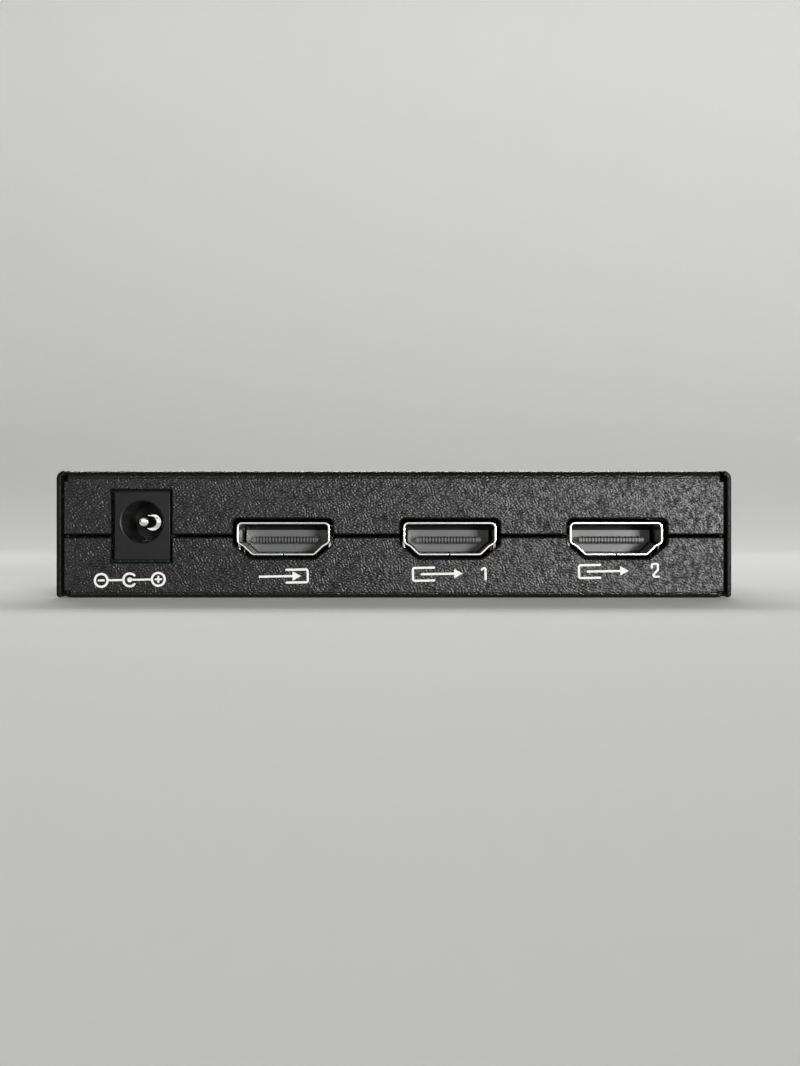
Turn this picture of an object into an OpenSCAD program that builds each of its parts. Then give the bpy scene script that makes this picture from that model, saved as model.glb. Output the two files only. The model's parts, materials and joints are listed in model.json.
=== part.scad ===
// Two-way video splitter in a folded sheet-metal box.
// Its port face has a barrel power inlet, one input socket and two output sockets.
// Millimetres. The origin is the middle of the underside, +X is right, the ports face -Y, +Z is up.

/* [Case] */
// Width across the cover's side walls
case_w = 106; // [104:0.5:125]
// Depth from the port face to the rear face
case_d = 55; // [52:0.5:80]
// Height from the tray's underside to the cover's top
case_h = 20; // [18.5:0.25:28]
// Thickness of the coated sheet
sheet_t = 0.8; // [0.6:0.05:1]
// Outside radius of the cover's bends
cover_bend_r = 1.3; // [1.1:0.1:2]
// Outside radius of the tray's bends
tray_bend_r = 0.9; // [0.9:0.1:1.5]
// Height of the middle of the seam between the cover and the tray in the port face
seam_z = 9.75; // [9.25:0.05:10.25]
// Height of the middle of that seam in the rear face
rear_seam_z = 14; // [12.5:0.25:16]
// Width of the seam
seam_gap = 0.35; // [0.1:0.05:0.6]
// Gap between the ends of a flange and the cover's side walls
flange_gap = 0.3; // [0.1:0.05:0.6]
// Gap between the cover's side walls and the tray's ears
ear_gap = 0.15; // [0.05:0.05:0.4]
// Height of the tray's side ears
ear_h = 13; // [12:0.5:16]
// Height of the side walls' lower edges above the underside
wall_lift = 0.1; // [0:0.1:0.6]
// Width of the slit that frees the end of each of the cover's bends
bend_relief = 0.4; // [0.2:0.1:0.6]
// Depth of the reliefs in the cover's corners, beyond its bends
corner_relief = 0.3; // [0.1:0.05:0.6]
// Width of the slit that frees the end of each of the tray's bends
tray_slit = 0.2; // [0.1:0.05:0.4]
// Depth of the reliefs in the tray's corners, beyond its bends
tray_relief = 0.05; // [0.05:0.05:0.3]

/* [Case screws] */
// Thread diameter of the side screws and the board screws
screw_d = 2.5; // [2:0.1:3]
// Length of a side screw, under its flush head
side_screw_len = 4; // [3.5:0.25:6]
// Distance of the side screws from the middle of the depth
side_screw_y = 17; // [12:0.5:18]
// Height of the side screws above the underside
side_screw_z = 9; // [8.5:0.25:10]
// Wall of the threaded collar in the ear
collar_t = 0.6; // [0.4:0.1:1]
// Reach of the collar behind the ear
collar_len = 1.2; // [0.8:0.1:1.6]
// Radial clearance of a screw in its hole
screw_clear = 0.05; // [0.03:0.01:0.1]
// Width of a slot in a screw's cross recess
recess_w = 0.6; // [0.4:0.1:0.8]

/* [Circuit board] */
// Thickness of the board
board_t = 1.6; // [1:0.1:1.8]
// Height of the standoffs above the tray's floor
standoff_h = 3.55; // [3:0.05:4]
// Outside diameter of a standoff
standoff_d = 5; // [4.6:0.1:5.4]
// Diameter of a standoff's spigot in the floor
spigot_d = 4.2; // [3.8:0.1:4.4]
// Gap between the board's sides and the ears
board_side_gap = 0.9; // [0.4:0.1:1.2]
// Gap between the port flange and the board's front edge
board_front_gap = 0.7; // [0.4:0.1:1]
// Gap between the rear flange and the board's rear edge
board_rear_gap = 2; // [1:0.1:2.5]
// Distance of the board's screws from its side edges
screw_inset_x = 3.1; // [2.8:0.1:3.3]
// Distance of the board's screws from its front and rear edges
screw_inset_y = 4.6; // [4:0.1:5.5]
// Length of a board screw under its head
board_screw_len = 4.6; // [4:0.1:4.8]
// Diameter of a board screw's head
board_head_d = 4.8; // [4.4:0.1:5]
// Height of a board screw's head
board_head_h = 1.6; // [1.2:0.1:2]
// Clearance around terminals and legs in the board
slot_clear = 0.15; // [0.1:0.05:0.2]
// Reach of the terminals and legs below the board
tail_len = 0.8; // [0.4:0.1:1.2]

/* [Power inlet] */
// Middle of the inlet, from the left side of the case
jack_inset = 13.4; // [13:0.1:15]
// Inlet's face behind the port face
jack_recess = 0.5; // [0.2:0.1:0.9]
// Width of the inlet's front
jack_w = 8.8; // [8.6:0.1:9.2]
// Height of the inlet's front above the board
jack_h = 10.7; // [10.4:0.1:11]
// Length of the inlet's body
jack_len = 14.2; // [13.6:0.1:15]
// Length of the wide front, with its shoulder
jack_front_len = 3.4; // [3:0.1:5]
// Length of the front before the shoulder
jack_nose_len = 1.2; // [1:0.1:1.6]
// Reach of the shoulder beyond the front, inside the port flange
jack_shoulder = 0.5; // [0.3:0.05:0.6]
// Step in from the wide front to the rest of the body
jack_step = 0.4; // [0.2:0.05:0.5]
// Gap between the inlet and its cut-out
jack_gap = 0.3; // [0.15:0.05:0.5]
// Height of the bore's axis above the board
bore_h = 6.02; // [5.9:0.02:6.2]
// Diameter of the bore
bore_d = 6.4; // [6.2:0.1:6.6]
// Depth of the bore
bore_depth = 9.2; // [9:0.1:9.6]
// Bevel around the bore's mouth
bore_bevel = 0.2; // [0.1:0.05:0.4]
// Diameter of the centre pin
pin_d = 2; // [1.8:0.05:2.2]
// Pin's tip behind the inlet's face
pin_tip_back = 0.9; // [0.5:0.1:1.5]
// Bevel around the pin's tip
pin_bevel = 0.35; // [0.2:0.05:0.5]
// Diameter of the collar at the pin's base
pin_collar_d = 3; // [2.8:0.1:3.4]
// Length of that collar
pin_collar_len = 1.8; // [0.4:0.1:2.2]
// Thickness of the pin's riveted end
rivet_t = 0.5; // [0.4:0.1:0.8]
// Diameter of the pin's shank in the rear wall
pin_shank_d = 1.6; // [1.2:0.1:1.8]
// Radial clearance of the shank
shank_clear = 0.05; // [0.03:0.01:0.1]
// Thickness of the inlet's terminals
terminal_t = 0.4; // [0.3:0.05:0.5]
// Width of the pin's terminal
pin_terminal_w = 2.6; // [2.4:0.1:3]

/* [Inlet spring] */
// Height of the open space under the bore
chamber_h = 2.4; // [2.3:0.05:2.5]
// Width of that space
chamber_w = 6.8; // [6.6:0.1:7]
// Front of that space behind the inlet's face
chamber_back = 2.8; // [2.4:0.1:3.2]
// Width of the spring
spring_w = 2; // [1.6:0.1:2.2]
// Thickness of the spring's strip
spring_t = 0.3; // [0.2:0.05:0.35]
// Spring's root behind the inlet's face
root_back = 11; // [10.8:0.1:11.4]
// Height of the root above the board
root_h = 1.05; // [0.95:0.05:1.15]
// Radius of the rolled root
root_r = 0.45; // [0.35:0.05:0.5]
// Clearance between the root and its terminal
root_clear = 0.05; // [0.03:0.01:0.08]
// Foot of the rise behind the inlet's face
rise_back = 8.4; // [8.2:0.1:8.6]
// Height of the foot of the rise above the board
rise_h = 1.5; // [1.45:0.05:1.6]
// Crest behind the inlet's face
crest_back = 5.3; // [5:0.1:5.6]
// Gap between the crest and the bore's axis
crest_r = 2.35; // [2.2:0.05:2.6]
// Tip behind the inlet's face
tip_back = 4; // [3.8:0.1:4.2]
// Drop from the crest to the tip
tip_drop = 0.6; // [0.4:0.05:0.8]
// Room around the spring in its slot
spring_room = 0.4; // [0.3:0.05:0.6]
// Reach of the spring's ear beyond its side
ear_reach = 1.2; // [1:0.1:1.3]
// Length of the ear, and of the switch contact over it
switch_len = 0.8; // [0.6:0.1:1]
// Gap between the ear and the switch contact
switch_gap = 0.08; // [0.05:0.01:0.12]
// Thickness of the switch contact
switch_t = 0.3; // [0.2:0.05:0.35]

/* [Video sockets] */
// Middle of the input socket, from the middle of the case
input_x = -17.45; // [-19:0.05:-17]
// Distance between neighbouring sockets
socket_pitch = 26.25; // [22:0.05:26.5]
// Height of the middle of a socket above the board
socket_lift = 3.35; // [3.25:0.05:3.5]
// Socket's mouth behind the port face
socket_recess = 0.8; // [0.4:0.1:1.2]
// Width of a socket's opening
opening_w = 14; // [13.8:0.05:14.4]
// Height of the opening
opening_h = 4.55; // [4.45:0.05:4.65]
// Length of the opening's upright sides
opening_side = 2.75; // [2.6:0.05:2.9]
// Run of the shallow shoulder below each side
shoulder_w = 0.9; // [0.8:0.05:1]
// Fall of that shoulder
shoulder_h = 0.5; // [0.45:0.05:0.6]
// Width of the opening's floor
opening_floor_w = 9.5; // [9.2:0.05:9.8]
// Corner radius of the opening
opening_r = 0.5; // [0.45:0.05:0.55]
// Sheet of the shell
shell_t = 0.4; // [0.3:0.05:0.4]
// Length of the shell
shell_len = 10; // [9.8:0.1:10.6]
// Gap between the shell and its cut-out
cutout_gap = 0.45; // [0.2:0.05:0.6]
// Slit where the shell's sheet meets itself
butt_gap = 0.12; // [0.08:0.02:0.2]
// Width of a shell's leg
leg_w = 1.2; // [0.8:0.1:1.6]
// Middle of the front leg behind the mouth
front_leg_back = 2.6; // [2.2:0.1:3]
// Middle of the rear leg behind the mouth
rear_leg_back = 8.2; // [7.8:0.1:8.6]
// Width of a spring finger in the shell
finger_w = 1.8; // [1.4:0.1:2]
// Length of a finger
finger_len = 4.5; // [3.5:0.1:5]
// Slot around a finger
finger_slot = 0.35; // [0.2:0.05:0.5]
// Distance of the fingers from the socket's middle
finger_x = 2.7; // [2.4:0.1:2.9]
// Fingers' slots behind the mouth
finger_back = 2.6; // [2:0.1:3]

/* [Socket insides] */
// Tongue's tip behind the mouth
tongue_back = 3.9; // [3.5:0.1:4.5]
// Thickness of the tongue
tongue_t = 1; // [0.8:0.05:1.2]
// Plastic beyond the outer contacts, each side
tongue_side = 0.6; // [0.4:0.1:0.9]
// Bevel of the tongue's tip
tongue_bevel = 0.25; // [0.1:0.05:0.3]
// Tongue's middle below the socket's middle
tongue_drop = 0.2; // [0:0.02:0.3]
// Front of the nose block behind the mouth
nose_back = 6; // [5.5:0.1:6.5]
// Height of the nose block
nose_h = 3.6; // [3.2:0.1:3.8]
// Nose block beyond the tongue, each side
nose_side = 1.35; // [1:0.05:1.5]
// Gap between the nose block and the opening's floor and shoulders
nose_gap = 0.1; // [0.05:0.05:0.2]
// Front of the block that fills the shell, behind the mouth
fill_back = 8; // [7.5:0.1:8.5]
// Clearance of that block in the shell
fill_clear = 0.05; // [0.03:0.01:0.08]
// Length of the block behind the shell
rear_len = 1.8; // [1.4:0.1:2.2]
// Distance between contacts in one row
contact_pitch = 1; // [0.9:0.05:1.05]
// Width of a contact
contact_w = 0.3; // [0.2:0.02:0.36]
// Thickness of a contact
contact_t = 0.15; // [0.1:0.01:0.2]
// Reach of the contacts out of the tongue's faces
contact_proud = 0.04; // [0.02:0.01:0.08]
// Contacts' ends behind the tongue's tip
contact_back = 0.5; // [0.3:0.05:0.8]
// Gap between the rear block and the contacts' drop to the board
contact_exit = 0.4; // [0.2:0.05:0.5]
// Length of a soldered foot
foot_len = 0.9; // [0.6:0.1:1.2]

/* [Board layout] */
// Middle of the splitter chip, from the middle of the case
chip_x = 9; // [6:0.5:14]
// Middle of the splitter chip behind the port face
chip_back = 29; // [28.5:0.25:30]
// Side of the splitter chip's body
chip_w = 14; // [12.8:0.1:14.4]
// Height of the chip's body
chip_h = 1.4; // [1:0.1:1.6]
// Distance between the chip's leads
chip_pitch = 0.8; // [0.65:0.05:0.8]
// Width of one of those leads
chip_lead_w = 0.35; // [0.25:0.02:0.4]
// Middle of the memory chip, from the middle of the case
memory_x = -10; // [-12:0.5:-9.5]
// Middle of the memory chip behind the port face
memory_back = 26; // [25.5:0.25:26.5]
// Middle of the crystal behind the port face
crystal_back = 34; // [33.5:0.25:34.5]
// Middle of the power parts, to the right of the inlet's middle
power_offset = 3.6; // [2.6:0.1:4.6]
// Middle of the regulator behind the port face
regulator_back = 24; // [23.5:0.25:25]
// Middle of the inductor behind the port face
inductor_back = 34; // [33:0.25:35]
// Distance of the round capacitors beyond the other power parts
bulk_offset = 11; // [10.5:0.25:12]
// Diameter of a round capacitor's can
bulk_d = 6.3; // [5:0.1:6.6]
// Height of the can
bulk_h = 5.4; // [4.6:0.1:7]
// Distance of the small parts' first row behind the contacts' feet
first_row = 2.4; // [2.2:0.1:2.8]
// Distance from the first row to the second
row_step = 2.2; // [2:0.1:2.4]

/* [Status lamps] */
// Gap between a lamp's rim and the board
lamp_lift = 0.05; // [0.05:0.05:0.4]
// Distance between the lamps
lamp_pitch = 5; // [4.5:0.5:7]
// Diameter of a lamp's lens
lamp_d = 2.9; // [2.8:0.1:3.2]
// Length of a lens, with its dome
lamp_len = 4.6; // [4:0.1:5.2]
// Tip of the lens inside the rear face
lamp_sink = 0.1; // [0.05:0.05:0.3]
// Radial gap between a lens and its hole
lamp_gap = 0.1; // [0.1:0.05:0.3]
// Rim at the lens's base
lamp_rim = 0.35; // [0.3:0.05:0.5]
// Length of that rim
lamp_rim_len = 0.8; // [0.6:0.1:1]
// Distance between a lamp's wires
wire_pitch = 2.54; // [2.2:0.02:2.6]
// Thickness of a wire
wire_t = 0.5; // [0.4:0.05:0.6]
// Bend of the wires in front of the lens's base
wire_bend = 1.2; // [1:0.1:1.6]

/* [Hidden] */
$fn = 48;
ARC_STEPS = 6;
SIDES = [-1, 1];

// Cuts run this far past the faces that they open
cut_over = 1;
face_y = -case_d / 2;
rear_y = case_d / 2;
wall_in_x = case_w / 2 - sheet_t;
ear_out_x = wall_in_x - ear_gap;
ear_in_x = ear_out_x - sheet_t;
flange_x = wall_in_x - flange_gap;
cover_bend_x = case_w / 2 - cover_bend_r - bend_relief;
tray_bend_x = ear_out_x - tray_bend_r - tray_slit;
seam_half = seam_gap / 2;

// Screws: a flush head fills the wall and the gap behind it
screw_r = screw_d / 2;
flush_h = sheet_t + ear_gap;
flush_sink = 0.05;
recess_depth = 0.7;
board_bottom = sheet_t + standoff_h;
board_top = board_bottom + board_t;
tail_z = board_bottom - tail_len;
board_x = ear_in_x - board_side_gap;
board_front_y = face_y + sheet_t + board_front_gap;
board_rear_y = rear_y - sheet_t - board_rear_gap;
hole_x = board_x - screw_inset_x;
hole_ys = [board_front_y + screw_inset_y, board_rear_y - screw_inset_y];

// Power inlet: depths run back from its face, heights up from the board
jack_x = jack_inset - case_w / 2;
jack_y = face_y + jack_recess;
bore_z = board_top + bore_h;
terminal_y = jack_y + jack_len;
root_end = root_back + root_r + root_clear;
crest_h = bore_h - crest_r - spring_t / 2;
tip_h = crest_h - tip_drop;
spring_path = [[root_back, root_h], [rise_back, rise_h], [crest_back, crest_h], [tip_back, tip_h]];
ear_mid = (root_back + rise_back) / 2 - switch_len / 2;
ear_front = ear_mid - switch_len / 2;
arm_slope = (rise_h - root_h) / (root_back - rise_back);
ear_top = root_h + (root_back - ear_front) * arm_slope + spring_t / 2 * sqrt(1 + arm_slope * arm_slope);
switch_h = ear_top + switch_gap;
switch_x = chamber_w / 2 - switch_t;
rivet_r = pin_terminal_w / 2;

// Video sockets
socket_xs = [for (i = [0 : 2]) input_x + i * socket_pitch];
socket_z = board_top + socket_lift;
mouth_y = face_y + socket_recess;
shell_w = opening_w + 2 * shell_t;
shell_h = opening_h + 2 * shell_t;
shell_end_y = mouth_y + shell_len;
socket_end_y = shell_end_y + rear_len;
upper_contacts = 10;
lower_contacts = 9;
tongue_w = (upper_contacts - 1) * contact_pitch + contact_w + 2 * tongue_side;
tongue_z = socket_z - tongue_drop;
foot_z = board_top + contact_t / 2;
row_y = socket_end_y + contact_exit + foot_len + first_row;

// Small parts on the board: a lead runs out of its body to its bend, drops to its foot and ends flat
power_x = jack_x + power_offset;
lead_t = 0.15;
lead_bend = 0.42;
lead_foot = 0.66;
lead_len = 1.2;
chip_lift = 0.1;
chip_side_leads = 16;
memory_size = [4.9, 3.9, 1.5];
memory_pitch = 1.27;
memory_side_leads = 4;
memory_lead_w = 0.4;
regulator_size = [6.5, 3.5, 1.6];
regulator_pitch = 2.3;
regulator_side_leads = 3;
regulator_lead_w = 0.7;
regulator_tab_w = 3;
inductor_size = [6, 6, 3];
inductor_corner = 1.2;
inductor_core_d = 4.4;
inductor_core_drop = 0.3;
base_corner = 1.4;
base_h = 0.8;
base_side = 0.2;
crystal_size = [11, 4.6, 3.4];
crystal_rim = 0.35;
crystal_rim_h = 0.5;
ceramic_size = [0.8, 1.6, 0.8];
ceramic_pitch = 3.5;
ceramic_count = 4;
ceramic_gap = 1.4;
resistor_size = [0.8, 1.6, 0.45];
resistor_pitch = 2.2;
resistor_count = 5;
array_size = [2.5, 1, 0.5];
array_x = 3;

// Status lamps look out of holes in the tray's rear flange
lamp_xs = [for (i = [-1 : 1]) socket_xs[1] + i * lamp_pitch];
lamp_r = lamp_d / 2;
lamp_z = board_top + lamp_lift + lamp_rim + lamp_r;
lamp_tip_y = rear_y - lamp_sink;
lamp_base_y = lamp_tip_y - lamp_len;
wire_y = lamp_base_y - wire_bend;
lamp_wires = 2;
wire_hole_r = norm([wire_t, wire_t]) / 2 + slot_clear;

// Smallest arc on a corner of an outline
least_arc = 0.05;

function unit(v) = v / norm(v);
// Outward normal of the edge from a to b on an outline that runs anticlockwise
function edge_out(a, b) = let (d = unit(b - a)) [d.y, -d.x];
function before(p, i) = p[(i + len(p) - 1) % len(p)];
function after(p, i) = p[(i + 1) % len(p)];
function corner_out(p, i) =
    let (a = edge_out(before(p, i), p[i]), b = edge_out(p[i], after(p, i))) (a + b) / (1 + a * b);
function corner_turn(p, i) =
    let (a = edge_out(before(p, i), p[i]), b = edge_out(p[i], after(p, i)))
        atan2(a.x * b.y - a.y * b.x, a * b);
function turned(v, angle) = [v.x * cos(angle) - v.y * sin(angle), v.x * sin(angle) + v.y * cos(angle)];
// An outline moved outward by g
function grown(p, g) = [for (i = [0 : len(p) - 1]) p[i] + g * corner_out(p, i)];
// An outline moved outward by g, with arcs of radius r on the corners of the outline that it came from
function rounded(p, r, g) = let (q = grown(p, g)) [
    for (i = [0 : len(q) - 1])
        let (angle = corner_turn(q, i), way = sign(angle), arc = max(r + way * g, least_arc))
        let (middle = q[i] - way * arc * corner_out(q, i), start = edge_out(before(q, i), q[i]))
            for (k = [0 : ARC_STEPS]) middle + way * arc * turned(start, angle * k / ARC_STEPS)
];
// The side of a bent strip along open points, at a signed distance from its middle line
function strip_side(p, t) = [
    for (i = [0 : len(p) - 1])
        let (a = edge_out(p[max(i - 1, 0)], p[max(i, 1)]))
        let (b = edge_out(p[min(i, len(p) - 2)], p[min(i + 1, len(p) - 1)]))
            p[i] + t * (a + b) / (1 + a * b)
];
function reversed(p) = [for (i = [len(p) - 1 : -1 : 0]) p[i]];
// A bent strip of thickness t along open points
function strip(p, t) = concat(strip_side(p, t / 2), reversed(strip_side(p, -t / 2)));

// Right side of a socket's opening from its floor up, with or without the shallow shoulder
function opening_side_points(shouldered) = concat(
    [[opening_floor_w / 2, -opening_h / 2]],
    shouldered ? [[opening_w / 2 - shoulder_w, opening_h / 2 - opening_side - shoulder_h]] : [],
    [[opening_w / 2, opening_h / 2 - opening_side], [opening_w / 2, opening_h / 2]]
);
function both_sides(p) = concat(p, [for (q = reversed(p)) [-q.x, q.y]]);
opening = both_sides(opening_side_points(true));
plain_opening = both_sides(opening_side_points(false));

// An outline drawn in X and Z, carried along Y
module along_y(from, to) {
    translate([0, to, 0]) rotate([90, 0, 0]) linear_extrude(to - from) children();
}

// An outline drawn in Y and Z, carried along X
module along_x(from, to) {
    translate([from, 0, 0]) rotate([90, 0, 90]) linear_extrude(to - from) children();
}

// A box given by its lowest and highest corners
module block(low, high) {
    translate(low) cube(high - low);
}

// A disc or rod along Y
module rod_y(r, from, to) {
    translate([0, to, 0]) rotate([90, 0, 0]) cylinder(h = to - from, r = r);
}

module row_of(count, pitch) {
    for (i = [0 : count - 1]) translate([(i - (count - 1) / 2) * pitch, 0, 0]) children();
}

// A rectangle standing on the X axis, with its lower corners rounded
module bowl(w, h, r) {
    intersection() {
        translate([-w / 2, 0]) square([w, h]);
        union() {
            translate([-w / 2, r]) square([w, h - r]);
            translate([r - w / 2, 0]) square([w - 2 * r, h]);
            for (s = SIDES) translate([s * (w / 2 - r), r]) circle(r);
        }
    }
}

// Section of a folded sheet: a floor and two upright sides
module channel(w, h, r) {
    difference() {
        bowl(w, h, r);
        translate([0, sheet_t]) bowl(w - 2 * sheet_t, h, r - sheet_t);
    }
}

// The same section hanging from the top of the case
module hung_channel(w, h, r) {
    translate([0, case_h]) mirror([0, 1]) channel(w, h, r);
}

// Outline of a flange: square at the seam, with a relief in each corner at the bend
function flange_points(seam, bend, bend_x, relief) = let (step = bend - sign(bend - seam) * relief)
    both_sides([[flange_x, seam], [flange_x, step], [bend_x, step], [bend_x, bend]]);

// Both flat flanges of a folded sheet, on the port face and the rear face, from its side of the seams
module flanges(way, bend, bend_x, relief) {
    along_y(face_y, face_y + sheet_t)
        polygon(flange_points(seam_z + way * seam_half, bend, bend_x, relief));
    along_y(rear_y - sheet_t, rear_y)
        polygon(flange_points(rear_seam_z + way * seam_half, bend, bend_x, relief));
}

// Openings in the two faces for the inlet, the sockets and the lamps
module face_cuts() {
    along_y(face_y - cut_over, face_y + sheet_t + cut_over) {
        translate([jack_x - jack_w / 2 - jack_gap, board_top - jack_gap])
            square([jack_w + 2 * jack_gap, jack_h + 2 * jack_gap]);
        for (x = socket_xs) translate([x, socket_z]) polygon(rounded(plain_opening, 0, shell_t + cutout_gap));
    }
    for (x = lamp_xs) translate([x, 0, lamp_z])
        rod_y(lamp_r + lamp_gap, rear_y - sheet_t - cut_over, rear_y + cut_over);
}

// What stands at a side screw, drawn with the screw's head outward along +Z
module at_side_screws() {
    for (s = SIDES, y = [-side_screw_y, side_screw_y])
        translate([s * case_w / 2, y, side_screw_z]) rotate([0, s * 90, 0]) children();
}

module at_board_screws() {
    for (s = SIDES, y = hole_ys) translate([s * hole_x, y, 0]) children();
}

module cross_recess() {
    for (a = [0, 90]) rotate(a)
        translate([-screw_r, -recess_w / 2, -recess_depth])
            cube([screw_d, recess_w, recess_depth + cut_over]);
}

// Countersunk hole in a side wall, from the inner end of the flush head out past the wall
module flush_hole() {
    depth = flush_h + flush_sink;
    r = screw_r + screw_clear;
    translate([0, 0, -depth]) cylinder(h = depth + cut_over, r1 = r, r2 = r + depth + cut_over);
}

module top_cover() color("#26282a") difference() {
    union() {
        along_y(face_y + cover_bend_r, rear_y - cover_bend_r)
            hung_channel(case_w, case_h - wall_lift, cover_bend_r);
        along_y(face_y, rear_y) intersection() {
            hung_channel(case_w, case_h - wall_lift, cover_bend_r);
            for (s = SIDES) translate([s * (case_w - cover_bend_r) / 2, case_h / 2])
                square([cover_bend_r, case_h], center = true);
        }
        along_x(-cover_bend_x, cover_bend_x)
            hung_channel(case_d, cover_bend_r + corner_relief, cover_bend_r);
        flanges(1, case_h - cover_bend_r, cover_bend_x, corner_relief);
    }
    face_cuts();
    at_side_screws() flush_hole();
}

module bottom_tray() color("#232527") difference() {
    union() {
        along_y(face_y + tray_bend_r + tray_slit, rear_y - tray_bend_r - tray_slit)
            channel(2 * ear_out_x, ear_h, tray_bend_r);
        along_x(-tray_bend_x, tray_bend_x) channel(case_d, tray_bend_r + tray_relief, tray_bend_r);
        flanges(-1, tray_bend_r, tray_bend_x, tray_relief);
        at_side_screws() translate([0, 0, -flush_h - sheet_t - collar_len])
            cylinder(h = collar_len + sheet_t / 2, r = screw_r + screw_clear + collar_t);
    }
    face_cuts();
    at_side_screws() translate([0, 0, -flush_h - sheet_t - collar_len - cut_over])
        cylinder(h = collar_len + sheet_t + 2 * cut_over, r = screw_r + screw_clear);
    at_board_screws() translate([0, 0, -cut_over]) cylinder(h = sheet_t + 2 * cut_over, d = spigot_d);
}

module cover_screws() color("#1b1c1d") at_side_screws() difference() {
    translate([0, 0, -flush_sink]) union() {
        translate([0, 0, -flush_h]) cylinder(h = flush_h, r1 = screw_r, r2 = screw_r + flush_h);
        translate([0, 0, -side_screw_len]) cylinder(h = side_screw_len, r = screw_r);
    }
    translate([0, 0, -flush_sink]) cross_recess();
}

module board_standoffs() color("#b9bcbe") at_board_screws() difference() {
    union() {
        translate([0, 0, flush_sink]) cylinder(h = sheet_t, d = spigot_d);
        translate([0, 0, sheet_t]) cylinder(h = standoff_h, d = standoff_d);
    }
    translate([0, 0, sheet_t]) cylinder(h = standoff_h + cut_over, r = screw_r + screw_clear);
}

module board_screws() color("#c9ccce") at_board_screws() translate([0, 0, board_top]) difference() {
    union() {
        cylinder(h = board_head_h, d = board_head_d);
        translate([0, 0, -board_screw_len]) cylinder(h = board_screw_len, r = screw_r);
    }
    translate([0, 0, board_head_h]) cross_recess();
}

module main_board() color("#1f5a34") difference() {
    block([-board_x, board_front_y, board_bottom], [board_x, board_rear_y, board_top]);
    at_board_screws() cylinder(h = board_top + cut_over, r = screw_r + 2 * screw_clear);
    for (x = socket_xs) translate([x, 0, 0]) shell_legs(slot_clear);
    jack_slots();
    for (x = lamp_xs) translate([x, wire_y, 0]) row_of(lamp_wires, wire_pitch)
        cylinder(h = board_top + cut_over, r = wire_hole_r);
}

// Legs of a socket's shell, or the slots for them with a clearance all round
module shell_legs(room) {
    wall_x = (opening_w + shell_t) / 2;
    size = [shell_t + 2 * room, leg_w + 2 * room, socket_z - tail_z];
    for (s = SIDES, back = [front_leg_back, rear_leg_back])
        translate([s * wall_x - size.x / 2, mouth_y + back - size.y / 2, tail_z]) cube(size);
}

// Slots in the board for the inlet's three terminals
module jack_slots() {
    for (tail = [[jack_x, terminal_y + terminal_t / 2, pin_terminal_w, terminal_t],
                 [jack_x, jack_y + root_end + terminal_t / 2, spring_w, terminal_t],
                 [jack_x + switch_x + switch_t / 2, jack_y + ear_mid, switch_t, switch_len]]) {
        size = [tail[2] + 2 * slot_clear, tail[3] + 2 * slot_clear, board_top - tail_z + cut_over];
        translate([tail[0] - size.x / 2, tail[1] - size.y / 2, tail_z]) cube(size);
    }
}

module dc_jack_body() color("#1d1e1f") translate([jack_x, jack_y, board_top]) difference() {
    union() {
        block([-jack_w / 2, 0, 0], [jack_w / 2, jack_front_len, jack_h]);
        block([-jack_w / 2 - jack_shoulder, jack_nose_len, 0],
              [jack_w / 2 + jack_shoulder, jack_front_len, jack_h + jack_shoulder]);
        block([jack_step - jack_w / 2, 0, 0], [jack_w / 2 - jack_step, jack_len, jack_h - jack_step]);
    }
    translate([0, 0, bore_h]) {
        rod_y(bore_d / 2, -cut_over, bore_depth);
        rotate([-90, 0, 0]) translate([0, 0, -bore_bevel])
            cylinder(h = 2 * bore_bevel, r1 = bore_d / 2 + 2 * bore_bevel, r2 = bore_d / 2);
        rod_y(pin_shank_d / 2 + shank_clear, 0, jack_len + cut_over);
    }
    block([-chamber_w / 2, chamber_back, -cut_over], [chamber_w / 2, root_end + terminal_t, chamber_h]);
    block([-spring_w / 2 - spring_room, tip_back - spring_room, 0],
          [spring_w / 2 + spring_room, rise_back + spring_room, bore_h - crest_r]);
}

module dc_jack_centre_pin() color("#d4d6d8") translate([jack_x, jack_y, bore_z]) {
    rod_y(pin_d / 2, pin_tip_back + pin_bevel, bore_depth);
    rotate([-90, 0, 0]) translate([0, 0, pin_tip_back])
        cylinder(h = pin_bevel, r1 = pin_d / 2 - pin_bevel, r2 = pin_d / 2);
    collar_y = bore_depth - pin_collar_len;
    rod_y(pin_collar_d / 2, collar_y, bore_depth);
    rod_y(pin_shank_d / 2, collar_y, jack_len + terminal_t + rivet_t);
    rod_y(rivet_r, jack_len + terminal_t, jack_len + terminal_t + rivet_t);
}

module dc_jack_pin_terminal() color("#c8b98a") difference() {
    block([jack_x - pin_terminal_w / 2, terminal_y, tail_z],
          [jack_x + pin_terminal_w / 2, terminal_y + terminal_t, bore_z + rivet_r]);
    translate([jack_x, 0, bore_z])
        rod_y(pin_shank_d / 2 + shank_clear, terminal_y - cut_over, terminal_y + terminal_t + cut_over);
}

// The moving sleeve contact: a bent strip with a rolled root, and an ear under the switch contact
module dc_jack_spring() color("#cfd1d2") translate([jack_x, jack_y, board_top]) {
    along_x(-spring_w / 2, spring_w / 2) {
        polygon(strip(spring_path, spring_t));
        translate(spring_path[0]) circle(root_r);
    }
    along_x(-spring_w / 2, spring_w / 2 + ear_reach) intersection() {
        polygon(strip([spring_path[0], spring_path[1]], spring_t));
        translate([ear_front, 0]) square([switch_len, chamber_h]);
    }
}

module dc_jack_spring_terminal() color("#c8b98a")
    block([jack_x - spring_w / 2, jack_y + root_end, tail_z],
          [jack_x + spring_w / 2, jack_y + root_end + terminal_t, board_top + root_h + root_r]);

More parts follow.
